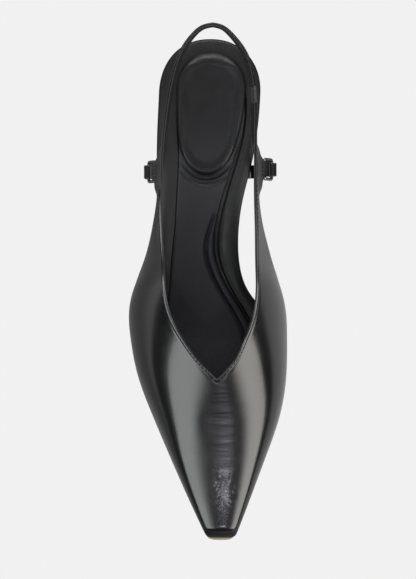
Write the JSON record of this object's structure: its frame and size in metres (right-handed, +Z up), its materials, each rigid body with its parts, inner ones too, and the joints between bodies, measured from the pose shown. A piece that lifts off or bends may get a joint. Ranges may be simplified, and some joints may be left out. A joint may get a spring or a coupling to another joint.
{
  "type": "slingback kitten heel",
  "caption": "Women's right slingback shoe in black leather with a snipped pointed toe, V throat, open waist, side straps on metal loops and a low covered kitten heel.",
  "frame": {"origin": "bottom centre of the bounding box, on the floor", "axes": "+Y from the toe to the heel, +X to the medial side, +Z up"},
  "size_m": [0.0804, 0.256, 0.0972],
  "materials": {
    "outsole_leather": "smooth tan sole leather",
    "heel_cover": "glossy black leather cover",
    "tip_rubber": "matt black",
    "insole_leather": "satin black lining leather",
    "sock_leather": "satin black lining leather",
    "pad_leather": "satin black lining leather",
    "upper_leather": "glossy black box calf",
    "elastic": "black woven elastic",
    "strap_leather": "glossy black leather",
    "loop_metal": "polished dark nickel plate"
  },
  "bodies": {
    "root": {"outsole": "outsole_leather", "heel": "heel_cover", "heel_tip": "tip_rubber", "insole": "insole_leather", "sock": "sock_leather", "heel_pad": "pad_leather", "upper": "upper_leather", "strap_elastic": "elastic", "side_strap_lateral": "strap_leather", "side_strap_medial": "strap_leather", "ring_lateral": "loop_metal", "ring_medial": "loop_metal"}
  },
  "joints": []
}
